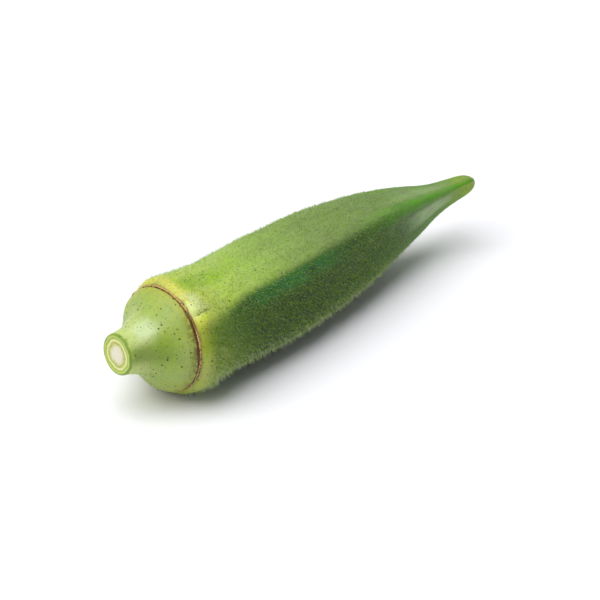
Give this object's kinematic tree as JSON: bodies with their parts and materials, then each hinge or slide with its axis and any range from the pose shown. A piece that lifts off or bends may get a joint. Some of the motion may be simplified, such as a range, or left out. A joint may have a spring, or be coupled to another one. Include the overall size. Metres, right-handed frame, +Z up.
{
  "type": "okra pod",
  "caption": "Whole fresh okra pod lying on its side: cut stem stub, domed cap with a thin brown scar round its edge, and a ribbed green body that tapers to a blunt tip.",
  "frame": {"origin": "under the middle of the pod's bounding box, on the surface that the pod lies on", "axes": "+X from the cut stem to the tip, +Z up, +Y to the left when looking from the stem to the tip"},
  "size_m": [0.1058, 0.0268, 0.0249],
  "materials": {
    "pod_skin": null
  },
  "bodies": {
    "root": {"okra_pod": "pod_skin"}
  },
  "joints": []
}
